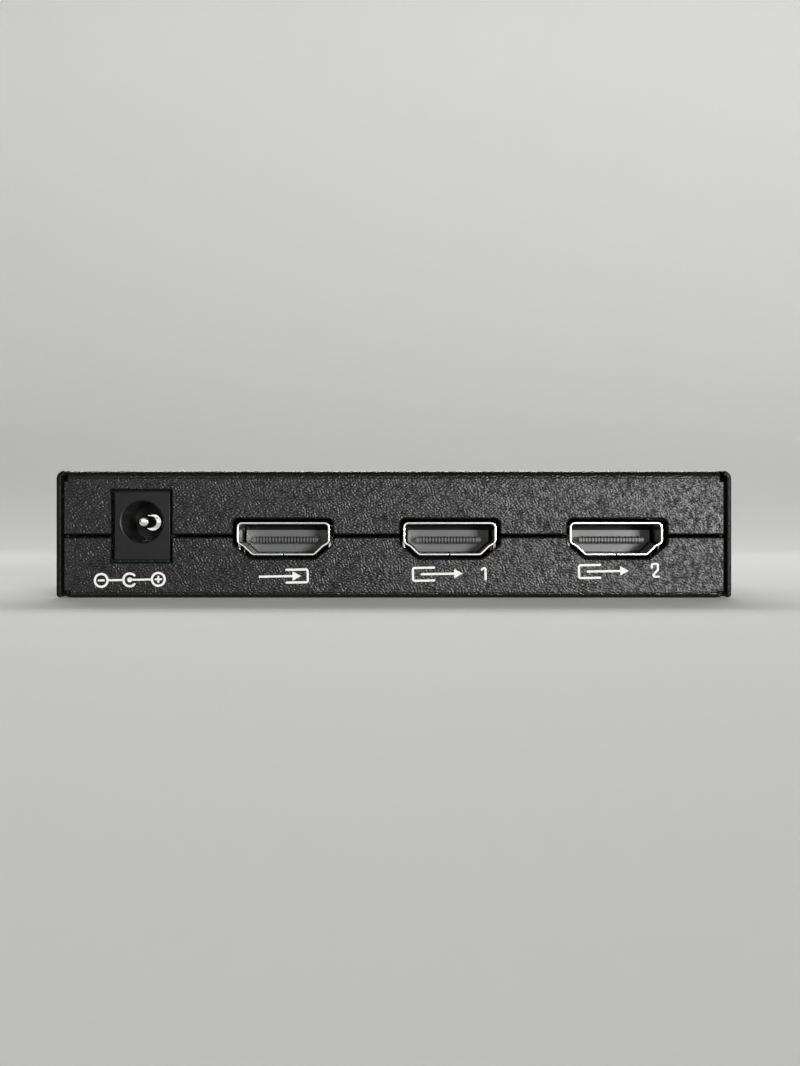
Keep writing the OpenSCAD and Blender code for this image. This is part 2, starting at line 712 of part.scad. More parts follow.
module dc_jack_switch_contact() color("#c8b98a") translate([jack_x, jack_y + ear_front, 0]) {
    block([switch_x, 0, tail_z], [switch_x + switch_t, switch_len, board_top + switch_h + switch_t]);
    block([spring_w / 2 + spring_t, 0, board_top + switch_h],
          [switch_x + switch_t, switch_len, board_top + switch_h + switch_t]);
}

// U-shaped slot that frees a spring finger in the shell's upper or lower wall
module finger_cut() {
    difference() {
        translate([-finger_w / 2 - finger_slot, 0, -cut_over / 2])
            cube([finger_w + 2 * finger_slot, finger_len + finger_slot, cut_over]);
        translate([-finger_w / 2, finger_slot, -cut_over])
            cube([finger_w, finger_len + finger_slot, 2 * cut_over]);
    }
}

module socket_shell(x) color("#d9dbdc") translate([x, 0, 0]) {
    difference() {
        along_y(mouth_y, shell_end_y) translate([0, socket_z]) difference() {
            polygon(rounded(opening, opening_r, shell_t));
            polygon(rounded(opening, opening_r, 0));
        }
        block([-butt_gap / 2, mouth_y - cut_over, socket_z - shell_h],
              [butt_gap / 2, shell_end_y + cut_over, socket_z]);
        for (s = SIDES, up = SIDES)
            translate([s * finger_x, mouth_y + finger_back, socket_z + up * (opening_h + shell_t) / 2])
                finger_cut();
    }
    shell_legs(0);
}

// Row of contacts at height z: along the tongue, out of the rear and down to a foot on the board
module contact_row(count, z) {
    start = mouth_y + tongue_back + contact_back;
    drop = socket_end_y + contact_exit;
    row_of(count, contact_pitch) along_x(-contact_w / 2, contact_w / 2)
        polygon(strip([[start, z], [drop, z], [drop, foot_z], [drop + foot_len, foot_z]], contact_t));
}

module socket_contacts(x) color("#d8b45c") translate([x, 0, 0]) {
    lift = (tongue_t - contact_t) / 2 + contact_proud;
    contact_row(upper_contacts, tongue_z + lift);
    contact_row(lower_contacts, tongue_z - lift);
}

module socket_insulator(x) color("#3a3c3e") difference() {
    translate([x, 0, 0]) {
        tip = mouth_y + tongue_back;
        root = mouth_y + fill_back;
        half = tongue_t / 2;
        along_x(-tongue_w / 2, tongue_w / 2) translate([0, tongue_z])
            polygon([[tip, tongue_bevel - half], [tip + tongue_bevel, -half], [root, -half],
                     [root, half], [tip + tongue_bevel, half], [tip, half - tongue_bevel]]);
        nose_x = tongue_w / 2 + nose_side;
        nose_low = nose_gap - opening_h / 2;
        along_y(mouth_y + nose_back, mouth_y + shell_len) translate([0, socket_z]) intersection() {
            polygon(rounded(opening, opening_r, -nose_gap));
            translate([-nose_x, nose_low]) square([2 * nose_x, nose_h]);
        }
        along_y(mouth_y + fill_back, shell_end_y + rear_len / 2) translate([0, socket_z])
            polygon(rounded(opening, opening_r, -fill_clear));
        block([-shell_w / 2, shell_end_y, board_top], [shell_w / 2, socket_end_y, socket_z + shell_h / 2]);
    }
    socket_contacts(x);
}

module input_shell() socket_shell(socket_xs[0]);
module output_1_shell() socket_shell(socket_xs[1]);
module output_2_shell() socket_shell(socket_xs[2]);
module input_insulator() socket_insulator(socket_xs[0]);
module output_1_insulator() socket_insulator(socket_xs[1]);
module output_2_insulator() socket_insulator(socket_xs[2]);
module input_contacts() socket_contacts(socket_xs[0]);
module output_1_contacts() socket_contacts(socket_xs[1]);
module output_2_contacts() socket_contacts(socket_xs[2]);

// A gull-wing lead that leaves a body along +Y at half its height
module gull_lead(w, body_h) {
    path = [[0, body_h / 2], [lead_bend, body_h / 2], [lead_foot, lead_t / 2], [lead_len, lead_t / 2]];
    along_x(-w / 2, w / 2) polygon(strip(path, lead_t));
}

// Where each small part sits on the board
module at_chip() { translate([chip_x, face_y + chip_back, board_top]) children(); }
module at_memory() { translate([memory_x, face_y + memory_back, board_top]) children(); }
module at_crystal() { translate([memory_x, face_y + crystal_back, board_top]) children(); }
module at_regulator() { translate([power_x, face_y + regulator_back, board_top]) children(); }
module at_inductor() { translate([power_x, face_y + inductor_back, board_top]) children(); }
module at_bulk() {
    for (back = [regulator_back, inductor_back])
        translate([power_x + bulk_offset, face_y + back, board_top]) children();
}

// A body that its leads hold just above the board
module chip_body(size) {
    translate([-size.x / 2, -size.y / 2, chip_lift]) cube([size.x, size.y, size.z - chip_lift]);
}

module splitter_chip() color("#202122") at_chip() chip_body([chip_w, chip_w, chip_h]);

module splitter_chip_leads() color("#c6c9cb") at_chip() for (side = [0 : 3]) rotate(side * 90)
    translate([0, chip_w / 2, 0]) row_of(chip_side_leads, chip_pitch) gull_lead(chip_lead_w, chip_h);

module memory_chip() color("#202122") at_memory() chip_body(memory_size);

module memory_chip_leads() color("#c6c9cb") at_memory() for (side = [0, 180]) rotate(side)
    translate([0, memory_size.y / 2, 0]) row_of(memory_side_leads, memory_pitch)
        gull_lead(memory_lead_w, memory_size.z);

module regulator() color("#202122") at_regulator() chip_body(regulator_size);

module regulator_leads() color("#c6c9cb") at_regulator() {
    translate([0, regulator_size.y / 2, 0]) gull_lead(regulator_tab_w, regulator_size.z);
    rotate(180) translate([0, regulator_size.y / 2, 0]) row_of(regulator_side_leads, regulator_pitch)
        gull_lead(regulator_lead_w, regulator_size.z);
}

// A square with its four corners cut across
function cut_square(w, c) =
    [for (q = [0 : 3], p = [[w / 2, c - w / 2], [w / 2, w / 2 - c]]) turned(p, q * 90)];

module power_inductor() color("#3c3d3e") at_inductor() difference() {
    linear_extrude(inductor_size.z) polygon(cut_square(inductor_size.x, inductor_corner));
    translate([0, 0, inductor_size.z - inductor_core_drop]) difference() {
        cylinder(h = cut_over, d = inductor_core_d + 2 * inductor_core_drop);
        translate([0, 0, -cut_over]) cylinder(h = 3 * cut_over, d = inductor_core_d);
    }
}

module bulk_capacitors() color("#c3c6c8") at_bulk()
    translate([0, 0, base_h]) cylinder(h = bulk_h, d = bulk_d);

module capacitor_bases() color("#222324") at_bulk() linear_extrude(base_h)
    polygon(cut_square(bulk_d + 2 * base_side, base_corner));

// A slot-shaped outline with round ends
module long_round(w, h) {
    square([w - h, h], center = true);
    for (s = SIDES) translate([s * (w - h) / 2, 0]) circle(d = h);
}

module crystal() color("#cfd2d3") at_crystal() {
    linear_extrude(crystal_rim_h)
        long_round(crystal_size.x + 2 * crystal_rim, crystal_size.y + 2 * crystal_rim);
    linear_extrude(crystal_size.z) long_round(crystal_size.x, crystal_size.y);
}

// A small part that sits flat on the board
module tile(size) {
    translate([-size.x / 2, -size.y / 2, 0]) cube(size);
}

module ceramic_capacitors() color("#b59a72") at_chip() for (side = SIDES)
    translate([side * (chip_w / 2 + lead_len + ceramic_gap), 0, 0]) rotate(90)
        row_of(ceramic_count, ceramic_pitch) tile([ceramic_size.y, ceramic_size.x, ceramic_size.z]);

module chip_resistors() color("#2b2c2d") for (x = socket_xs) translate([x, row_y + row_step, board_top])
    row_of(resistor_count, resistor_pitch) tile(resistor_size);

module surge_arrays() color("#252627") for (x = socket_xs, s = SIDES)
    translate([x + s * array_x, row_y, board_top]) tile(array_size);

module status_led_lenses() color("#dfe6df") for (x = lamp_xs) translate([x, 0, lamp_z]) {
    rod_y(lamp_r, lamp_base_y, lamp_tip_y - lamp_r);
    translate([0, lamp_tip_y - lamp_r, 0]) sphere(r = lamp_r);
    rod_y(lamp_r + lamp_rim, lamp_base_y, lamp_base_y + lamp_rim_len);
}

module status_led_leads() color("#c6c9cb") for (x = lamp_xs) translate([x, 0, 0])
    row_of(lamp_wires, wire_pitch) along_x(-wire_t / 2, wire_t / 2)
        polygon(strip([[lamp_base_y, lamp_z], [wire_y, lamp_z], [wire_y, tail_z]], wire_t));

top_cover();
bottom_tray();
cover_screws();
board_standoffs();
board_screws();
main_board();
dc_jack_body();
dc_jack_centre_pin();
dc_jack_pin_terminal();
dc_jack_spring();
dc_jack_spring_terminal();
dc_jack_switch_contact();
input_shell();
output_1_shell();
output_2_shell();
input_insulator();
output_1_insulator();
output_2_insulator();
input_contacts();
output_1_contacts();
output_2_contacts();
splitter_chip();
splitter_chip_leads();
memory_chip();
memory_chip_leads();
regulator();
regulator_leads();
power_inductor();
bulk_capacitors();
capacitor_bases();
crystal();
ceramic_capacitors();
chip_resistors();
surge_arrays();
status_led_lenses();
status_led_leads();
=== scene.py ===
import json
import math

import bmesh
import bpy
from mathutils import Matrix, Vector
from mathutils.geometry import tessellate_polygon


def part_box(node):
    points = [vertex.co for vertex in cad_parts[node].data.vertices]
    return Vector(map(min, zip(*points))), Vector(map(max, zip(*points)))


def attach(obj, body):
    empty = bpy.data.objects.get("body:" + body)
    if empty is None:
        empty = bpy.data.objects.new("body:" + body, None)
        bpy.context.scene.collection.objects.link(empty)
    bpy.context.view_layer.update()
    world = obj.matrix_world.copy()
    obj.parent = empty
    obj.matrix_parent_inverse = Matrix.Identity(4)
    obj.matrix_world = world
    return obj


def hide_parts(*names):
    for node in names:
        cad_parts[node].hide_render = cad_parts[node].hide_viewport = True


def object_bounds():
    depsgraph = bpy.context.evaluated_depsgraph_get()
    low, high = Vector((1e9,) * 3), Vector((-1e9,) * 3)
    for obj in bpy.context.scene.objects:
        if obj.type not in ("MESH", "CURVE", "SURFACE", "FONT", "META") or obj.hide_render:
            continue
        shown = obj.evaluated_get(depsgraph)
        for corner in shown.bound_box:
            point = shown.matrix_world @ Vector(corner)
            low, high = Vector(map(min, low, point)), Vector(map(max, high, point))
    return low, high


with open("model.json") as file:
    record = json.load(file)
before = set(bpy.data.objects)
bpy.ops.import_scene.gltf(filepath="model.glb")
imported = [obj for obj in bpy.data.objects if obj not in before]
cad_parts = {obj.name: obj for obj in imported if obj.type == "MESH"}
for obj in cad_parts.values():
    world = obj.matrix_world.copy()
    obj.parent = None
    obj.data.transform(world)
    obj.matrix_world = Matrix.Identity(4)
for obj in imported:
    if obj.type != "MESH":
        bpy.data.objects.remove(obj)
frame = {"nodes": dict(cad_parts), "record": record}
cad_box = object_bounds()
nodes = frame["nodes"]

MM = 0.001
BODY = "splitter"
LEAF_BODY = "inlet_spring"
SOCKETS = ("input", "output_1", "output_2")


# Finishes: one procedural material for each slot of the record, in the part's own coordinates.


class Finish:
    """A node material around one Principled shader. Lengths are in millimetres."""

    def __init__(self, name, colour, roughness, metallic=0.0, shine=0.5):
        self.material = bpy.data.materials.new(name)
        self.material.use_nodes = True
        self.tree = self.material.node_tree
        self.shader = self.tree.nodes["Principled BSDF"]
        self.place = self.add("ShaderNodeTexCoord").outputs["Object"]
        self.set("Base Color", (*colour, 1.0))
        self.set("Roughness", roughness)
        self.set("Metallic", metallic)
        self.set("Specular IOR Level", shine)

    def set(self, socket, value):
        """Put a constant on a socket of the shader, or link a node's output to it."""
        self.feed(self.shader.inputs[socket], value)

    def feed(self, target, value):
        if isinstance(value, bpy.types.NodeSocket):
            self.tree.links.new(value, target)
        else:
            target.default_value = value

    def add(self, kind, **inputs):
        node = self.tree.nodes.new(kind)
        for name, value in inputs.items():
            self.feed(node.inputs[name.replace("_", " ")], value)
        return node

    def stretched(self, factors):
        """The part's coordinates with each axis scaled, which draws a pattern out along an axis."""
        return self.add("ShaderNodeMapping", Vector=self.place, Scale=factors).outputs["Vector"]

    def noise(self, size, detail=2.0, warp=0.0, place=None):
        node = self.add("ShaderNodeTexNoise", Vector=place or self.place, Scale=1 / (size * MM))
        node.inputs["Detail"].default_value = detail
        node.inputs["Distortion"].default_value = warp
        return node.outputs["Fac"]

    def worms(self, period, cell, order):
        """Short wavy ridges a period apart, which keep one direction over a cell."""
        node = self.add("ShaderNodeTexGabor", Scale=1 / (cell * MM), Frequency=cell / period)
        node.inputs["Anisotropy"].default_value = order
        node.gabor_type = "3D"
        self.feed(node.inputs["Vector"], self.place)
        return node.outputs["Value"]

    def span(self, value, low, high, start=0.0, end=1.0):
        """Carry start..end of a value over to low..high, with soft ends."""
        node = self.add("ShaderNodeMapRange", Value=value)
        node.interpolation_type = "SMOOTHSTEP"
        for name, number in zip(("From Min", "From Max", "To Min", "To Max"), (start, end, low, high)):
            node.inputs[name].default_value = number
        return node.outputs["Result"]

    def math(self, operation, first, second):
        node = self.tree.nodes.new("ShaderNodeMath")
        node.operation = operation
        self.feed(node.inputs[0], first)
        self.feed(node.inputs[1], second)
        return node.outputs["Value"]

    def mixed(self, factor, first, second):
        """A colour between two, by a pattern."""
        node = self.tree.nodes.new("ShaderNodeMix")
        node.data_type = "RGBA"
        self.feed(node.inputs["Factor"], factor)
        self.feed(node.inputs[6], (*first, 1.0))
        self.feed(node.inputs[7], (*second, 1.0))
        return node.outputs[2]

    def attribute(self, name):
        node = self.tree.nodes.new("ShaderNodeAttribute")
        node.attribute_name = name
        return node.outputs["Fac"]

    def bump(self, height, depth, strength=1.0, under=None):
        node = self.add("ShaderNodeBump", Height=height, Strength=strength, Distance=depth * MM)
        if under is not None:
            self.feed(node.inputs["Normal"], under)
        return node.outputs["Normal"]


NOISE_LOW = 0.3
NOISE_HIGH = 0.7
EDGE_MARK = "rounded_edge"
WRINKLE_PERIOD = 0.43
WRINKLE_CELL = 0.95
WRINKLE_ORDER = 0.2
WRINKLE_DEPTH = 0.165
CREST_START = 0.35
CREST_END = 0.7
GRAIN_SIZE = 0.2
GRAIN_SHARE = 0.25
SMUDGE_SIZE = 14.0
# Where the painted shade deep in the sockets begins, and over what depth it reaches full black.
NOSE_FRONT = -20.6
NOSE_SHADE_FADE = 1.2


def coated_sheet():
    """Black wrinkle coat: short worm-like ridges, flatter where an edge turns away, and darker there by
    painted shade from a lower shine.
    """
    finish = Finish("coated_sheet", (0.007, 0.0071, 0.0072), 0.38, shine=0.5)
    ridges = finish.worms(WRINKLE_PERIOD, WRINKLE_CELL, WRINKLE_ORDER)
    grain = finish.noise(GRAIN_SIZE, detail=2.0)
    height = finish.math("ADD", ridges, finish.math("MULTIPLY", grain, GRAIN_SHARE))
    turned = finish.attribute(EDGE_MARK)
    finish.set("Normal", finish.bump(height, WRINKLE_DEPTH, strength=finish.span(turned, 1.0, 0.45)))
    # Painted shade: bends, cut ends and rounded edges shine less, so they read darker, as where they turn
    # away from the lights.
    finish.set("Specular IOR Level", finish.span(turned, 0.5, 0.1))
    # Darker in the grooves and paler on the crests: painted shade in the grooves, together with dirt.
    crest = finish.span(ridges, 0.0, 1.0, CREST_START, CREST_END)
    finish.set("Base Color", finish.mixed(crest, (0.004, 0.0041, 0.0042), (0.011, 0.0113, 0.0115)))
    smudge = finish.noise(SMUDGE_SIZE, detail=3.0)
    finish.set("Roughness", finish.span(smudge, 0.35, 0.41, NOISE_LOW, NOISE_HIGH))
    return finish.material


def black_screw():
    finish = Finish("black_screw", (0.02, 0.02, 0.021), 0.4, metallic=0.6)
    wear = finish.noise(0.5, detail=4.0)
    rubbed = finish.span(wear, 0.0, 1.0, 0.45, 0.8)
    finish.set("Base Color", finish.mixed(rubbed, (0.018, 0.018, 0.019), (0.07, 0.068, 0.065)))
    finish.set("Roughness", finish.span(wear, 0.32, 0.5, NOISE_LOW, NOISE_HIGH))
    finish.set("Normal", finish.bump(finish.noise(0.15), 0.004))
    return finish.material


def plated(name, colour, darker, roughness, size=0.6, draw=(1.0, 0.15, 1.0), depth=0.0025):
    """Plated metal with faint drawing lines along an axis and small clouds in its gloss."""
    finish = Finish(name, colour, roughness, metallic=1.0)
    lines = finish.noise(size * 0.25, detail=3.0, place=finish.stretched(draw))
    cloud = finish.noise(size * 4.0, detail=3.0)
    finish.set("Base Color", finish.mixed(finish.span(cloud, 0.0, 1.0, 0.3, 0.75), darker, colour))
    finish.set("Roughness", finish.span(lines, roughness * 0.8, roughness * 1.35, NOISE_LOW, NOISE_HIGH))
    finish.set("Normal", finish.bump(lines, depth))
    return finish.material


def moulded(name, colour, paler, roughness, depth=0.004, shine=0.5):
    """Moulded plastic: fine satin grain, and faint flow clouds in its colour."""
    finish = Finish(name, colour, roughness, shine=shine)
    fine = finish.noise(0.12, detail=2.0)
    flow = finish.noise(2.5, detail=3.0, warp=0.6)
    finish.set("Base Color", finish.mixed(finish.span(flow, 0.0, 1.0, NOISE_LOW, NOISE_HIGH), colour, paler))
    finish.set("Roughness", finish.span(fine, roughness * 0.88, roughness * 1.12, NOISE_LOW, NOISE_HIGH))
    finish.set("Normal", finish.bump(fine, depth))
    return finish.material


def socket_plastic():
    """Dark grey plastic with painted shade: near black and less shiny on the faces that lie deep in a
    socket.
    """
    finish = Finish("socket_plastic", (0.1, 0.102, 0.103), 0.36)
    fine = finish.noise(0.12, detail=2.0)
    depth = finish.add("ShaderNodeSeparateXYZ", Vector=finish.place).outputs["Y"]
    # Painted shade: behind the nose's front the plastic turns near black and shines less, standing in for
    # the shade deep in the socket.
    deep_shade = finish.span(depth, 0.0, 1.0, NOSE_FRONT * MM, (NOSE_FRONT + NOSE_SHADE_FADE) * MM)
    finish.set("Base Color", finish.mixed(deep_shade, (0.1, 0.102, 0.103), (0.008, 0.008, 0.008)))
    finish.set("Specular IOR Level", finish.span(deep_shade, 0.5, 0.1))
    finish.set("Roughness", finish.span(fine, 0.32, 0.42, NOISE_LOW, NOISE_HIGH))
    finish.set("Normal", finish.bump(fine, 0.004))
    return finish.material


def board_green():
    finish = Finish("board_green", (0.004, 0.013, 0.007), 0.4, shine=0.25)
    weave = finish.noise(0.5, detail=1.0, place=finish.stretched((1.0, 0.2, 1.0)))
    tracks = finish.span(finish.worms(0.9, 6.0, 1.0), 0.0, 1.0, 0.48, 0.54)
    finish.set("Base Color", finish.mixed(tracks, (0.003, 0.01, 0.005), (0.005, 0.018, 0.009)))
    finish.set("Roughness", finish.span(weave, 0.36, 0.46, NOISE_LOW, NOISE_HIGH))
    finish.set("Normal", finish.bump(tracks, 0.02, under=finish.bump(weave, 0.01)))
    return finish.material


def lamp_lens():
    finish = Finish("lamp_lens", (0.78, 0.85, 0.79), 0.16)
    finish.set("Transmission Weight", 0.75)
    finish.set("IOR", 1.5)
    haze = finish.noise(0.9, detail=2.0)
    finish.set("Base Color", finish.mixed(haze, (0.72, 0.82, 0.74), (0.85, 0.9, 0.86)))
    finish.set("Roughness", finish.span(haze, 0.12, 0.24, NOISE_LOW, NOISE_HIGH))
    finish.set("Normal", finish.bump(finish.noise(0.4), 0.003))
    return finish.material


def white_ink():
    """Screen-printed white ink that follows the wrinkles below it."""
    finish = Finish("white_ink", (0.8, 0.8, 0.79), 0.6)
    ridges = finish.worms(WRINKLE_PERIOD, WRINKLE_CELL, WRINKLE_ORDER)
    finish.set("Normal", finish.bump(ridges, 0.03, strength=0.7))
    thin = finish.span(ridges, 0.0, 1.0, 0.1, 0.5)
    finish.set("Base Color", finish.mixed(thin, (0.5, 0.5, 0.49), (0.84, 0.84, 0.82)))
    return finish.material


def fired_ceramic():
    finish = Finish("fired_ceramic", (0.45, 0.34, 0.22), 0.55)
    speck = finish.noise(0.2, detail=4.0)
    finish.set("Base Color", finish.mixed(speck, (0.4, 0.29, 0.18), (0.52, 0.4, 0.27)))
    finish.set("Normal", finish.bump(speck, 0.006))
    return finish.material


finishes = {
    "coated_sheet": coated_sheet(),
    "black_screw": black_screw(),
    "zinc_steel": plated("zinc_steel", (0.62, 0.63, 0.65), (0.5, 0.51, 0.53), 0.34),
    "bright_plate": plated("bright_plate", (0.94, 0.92, 0.88), (0.9, 0.88, 0.84), 0.2, depth=0.0005),
    "spring_strip": plated("spring_strip", (0.74, 0.73, 0.7), (0.64, 0.63, 0.6), 0.26),
    "terminal_brass": plated("terminal_brass", (0.72, 0.62, 0.42), (0.6, 0.5, 0.33), 0.32),
    "inlet_plastic": moulded("inlet_plastic", (0.006, 0.006, 0.006), (0.009, 0.009, 0.009), 0.4, shine=0.3),
    "socket_plastic": socket_plastic(),
    "gold_contact": plated("gold_contact", (0.83, 0.62, 0.26), (0.74, 0.52, 0.2), 0.24, size=0.3),
    "board_green": board_green(),
    "chip_black": moulded("chip_black", (0.02, 0.02, 0.021), (0.03, 0.03, 0.031), 0.55, depth=0.008),
    "tin_lead": plated("tin_lead", (0.7, 0.71, 0.72), (0.58, 0.59, 0.6), 0.3, size=0.3),
    "ferrite_grey": moulded("ferrite_grey", (0.08, 0.08, 0.084), (0.12, 0.12, 0.124), 0.6, depth=0.015),
    "can_aluminium": plated("can_aluminium", (0.76, 0.77, 0.78), (0.68, 0.69, 0.7), 0.28, draw=(1, 1, 0.1)),
    "fired_ceramic": fired_ceramic(),
    "lamp_lens": lamp_lens(),
}
ink = white_ink()
polish = plated("pin_polish", (0.95, 0.94, 0.92), (0.92, 0.91, 0.89), 0.08, size=0.3, depth=0.0003)


def dress_node(node, slot):
    """Give a CAD node that stays in sight the finish of its slot."""
    data = nodes[node].data
    data.materials.clear()
    data.materials.append(finishes[slot])


for row in frame["record"]["subparts"]:
    dress_node(row["node"], row["material_slot"])
slot_of = {row["node"]: row["material_slot"] for row in frame["record"]["subparts"]}


# Pieces made from CAD nodes: the same form in the same place, with its outward edges rounded.

WELD = 0.02 * MM
FLAT_TURN = math.radians(0.5)
SHARP_TURN = math.radians(38)
LEAN_START = math.radians(12)
LEAN_END = math.radians(42)
CUT_END = 2.2
FLUSH_SHARE = 1 / 3
EDGE_STEPS = 3
BROAD_STEPS = 5
SHEET_EDGE = 0.26
FOOT_EDGE = 0.5
FOOT_LEVEL = 0.6
FRONT_REACH = 0.6
SHELL_EDGE = 0.14
CORE_EDGE = 0.09
INLET_EDGE = 0.14
PIN_EDGE = 0.16
LEAF_EDGE = 0.05
SCREW_EDGE = 0.05
STALE_NORMALS = "custom_normal"


def shade(mesh):
    """Smooth shading that breaks only at sharp turns."""
    if STALE_NORMALS in mesh.attributes:
        mesh.attributes.remove(mesh.attributes[STALE_NORMALS])
    form = bmesh.new()
    form.from_mesh(mesh)
    for face in form.faces:
        face.smooth = True
    for edge in form.edges:
        edge.smooth = edge.is_manifold and edge.calc_face_angle() < SHARP_TURN
    form.to_mesh(mesh)
    form.free()


def placed(name, mesh, material, body):
    """Add a mesh to the scene as a piece that rides on a body."""
    piece = bpy.data.objects.new(name, mesh)
    bpy.context.scene.collection.objects.link(piece)
    mesh.materials.clear()
    mesh.materials.append(material)
    shade(mesh)
    normals = piece.modifiers.new("even_normals", "WEIGHTED_NORMAL")
    normals.keep_sharp = True
    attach(piece, body)
    return piece


def sharp_edges(form):
    return [e for e in form.edges if e.is_manifold and e.is_convex and e.calc_face_angle() > SHARP_TURN]


def edge_mark(form):
    return form.faces.layers.float.get(EDGE_MARK) or form.faces.layers.float.new(EDGE_MARK)


def is_cut_end(face):
    """Whether a face is the narrow cut end of a sheet, and not a strip of a larger flat side."""
    spans = sorted(max(c) - min(c) for c in zip(*(v.co for v in face.verts)))
    rim = sum(e.calc_length() for e in face.edges)
    flush = sum(e.calc_length() for e in face.edges if e.is_manifold and e.calc_face_angle() < FLAT_TURN)
    return spans[0] < WELD and spans[1] < CUT_END * MM and flush < rim * FLUSH_SHARE


def mark_bends(form):
    """Mark the cut ends of a sheet, and its bends by how far they lean from the nearest axis. The mark
    smooths the coat and paints shade there by lowering its shine.
    """
    mark = edge_mark(form)
    for face in form.faces:
        lean = math.acos(min(1.0, max(abs(c) for c in face.normal)))
        leaning = min(1.0, max(0.0, (lean - LEAN_START) / (LEAN_END - LEAN_START)))
        face[mark] = 1.0 if is_cut_end(face) else leaning


def round_off(form, edges, radius, steps):
    """Round the edges and mark the new faces, so that a coat can lie smoother there and shine less, as
    painted shade.
    """
    mark = edge_mark(form)
    rounded = bmesh.ops.bevel(
        form,
        geom=edges,
        offset=radius * MM,
        offset_type="OFFSET",
        segments=steps,
        profile=0.5,
        affect="EDGES",
        clamp_overlap=False,
    )
    for face in rounded["faces"]:
        face[mark] = 1.0


def softened(node, name, radius, body=BODY, broad=None, only=None, finish=None):
    """A copy of a CAD node with its outward edges rounded, which stands for the node."""
    form = bmesh.new()
    form.from_mesh(nodes[node].data)
    bmesh.ops.remove_doubles(form, verts=form.verts, dist=WELD)
    bmesh.ops.dissolve_limit(form, angle_limit=FLAT_TURN, verts=form.verts, edges=form.edges)
    mark_bends(form)
    if broad:
        picked, broad_radius = broad
        round_off(form, [e for e in sharp_edges(form) if picked(e)], broad_radius, BROAD_STEPS)
    round_off(form, [e for e in sharp_edges(form) if only is None or only(e)], radius, EDGE_STEPS)
    mesh = bpy.data.meshes.new(name)
    form.to_mesh(mesh)
    form.free()
    slot = slot_of[node]
    piece = placed(name, mesh, finish or finishes[slot], body)
    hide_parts(node)


def is_inlet_front(edge):
    """Whether an edge lies at the front of the power inlet."""
    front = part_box("dc_jack_body")[0].y + FRONT_REACH * MM
    return all(v.co.y < front for v in edge.verts)


def is_wall_foot(edge):
    """Whether an edge is the outer lower edge of one of the cover's side walls."""
    half_width = cad_box[1].x - WELD
    return all(abs(v.co.x) > half_width and v.co.z < FOOT_LEVEL * MM for v in edge.verts)


softened("top_cover", "cover_sheet", SHEET_EDGE, broad=(is_wall_foot, FOOT_EDGE))
softened("bottom_tray", "tray_sheet", SHEET_EDGE)
softened("dc_jack_body", "inlet_housing", INLET_EDGE, only=is_inlet_front)
softened("dc_jack_centre_pin", "inlet_pin", PIN_EDGE, finish=polish)
softened("dc_jack_spring", "inlet_leaf", LEAF_EDGE, body=LEAF_BODY)
softened("cover_screws", "side_screws", SCREW_EDGE)
for socket in SOCKETS:
    softened(f"{socket}_shell", f"{socket}_rim", SHELL_EDGE)
    softened(f"{socket}_insulator", f"{socket}_core", CORE_EDGE)


# Teeth at the tip of each contact tongue: pale ribs laid around the tip's section, over a near-black band
# that paints the shade in the slots between them.

TONGUE_HALF = 0.5
TONGUE_BEVEL = 0.25
CONTACT_TOP = 0.54
TOOTH_REACH = 0.46
TIP_SECTION = (
    (TOOTH_REACH, TONGUE_HALF),
    (TONGUE_BEVEL, TONGUE_HALF),
    (0.0, TONGUE_HALF - TONGUE_BEVEL),
    (0.0, TONGUE_BEVEL - TONGUE_HALF),
    (TONGUE_BEVEL, -TONGUE_HALF),
    (TOOTH_REACH, -TONGUE_HALF),
)
TIP_OUTWARD = ((0.0, 1.0), (-0.4, 1.0), (-1.0, 0.4), (-1.0, -0.4), (-0.4, -1.0), (0.0, -1.0))
TOOTH_COUNT = 19
TOOTH_PITCH = 0.5
TOOTH_FOOT = 0.32
TOOTH_CREST = 0.24
TOOTH_PROUD = 0.06
SLOT_SHADE_PROUD = 0.015
SUNK = -0.03


def tip_loop(form, tip, x, proud):
    """The tip's section at one x, moved outward by a length."""
    loop = []
    for (y, z), (out_y, out_z) in zip(TIP_SECTION, TIP_OUTWARD):
        loop.append(form.verts.new(tip + Vector((x, y + out_y * proud, z + out_z * proud)) * MM))
    return loop


def wrap(form, tip, x, foot, crest, proud):
    """A bar around the tip: wide where it stands on the tongue, narrower at its crest."""
    rails = [
        tip_loop(form, tip, x - foot / 2, SUNK),
        tip_loop(form, tip, x - crest / 2, proud),
        tip_loop(form, tip, x + crest / 2, proud),
        tip_loop(form, tip, x + foot / 2, SUNK),
    ]
    for left, right in zip(rails, rails[1:] + rails[:1]):
        for step in range(len(left) - 1):
            form.faces.new((left[step], left[step + 1], right[step + 1], right[step]))
    form.faces.new([rail[0] for rail in rails])
    form.faces.new([rail[-1] for rail in reversed(rails)])


def finished(form, name, material):
    """Turn a drawn form into a piece on the case."""
    bmesh.ops.recalc_face_normals(form, faces=form.faces)
    mesh = bpy.data.meshes.new(name)
    form.to_mesh(mesh)
    form.free()
    return placed(name, mesh, material, BODY)


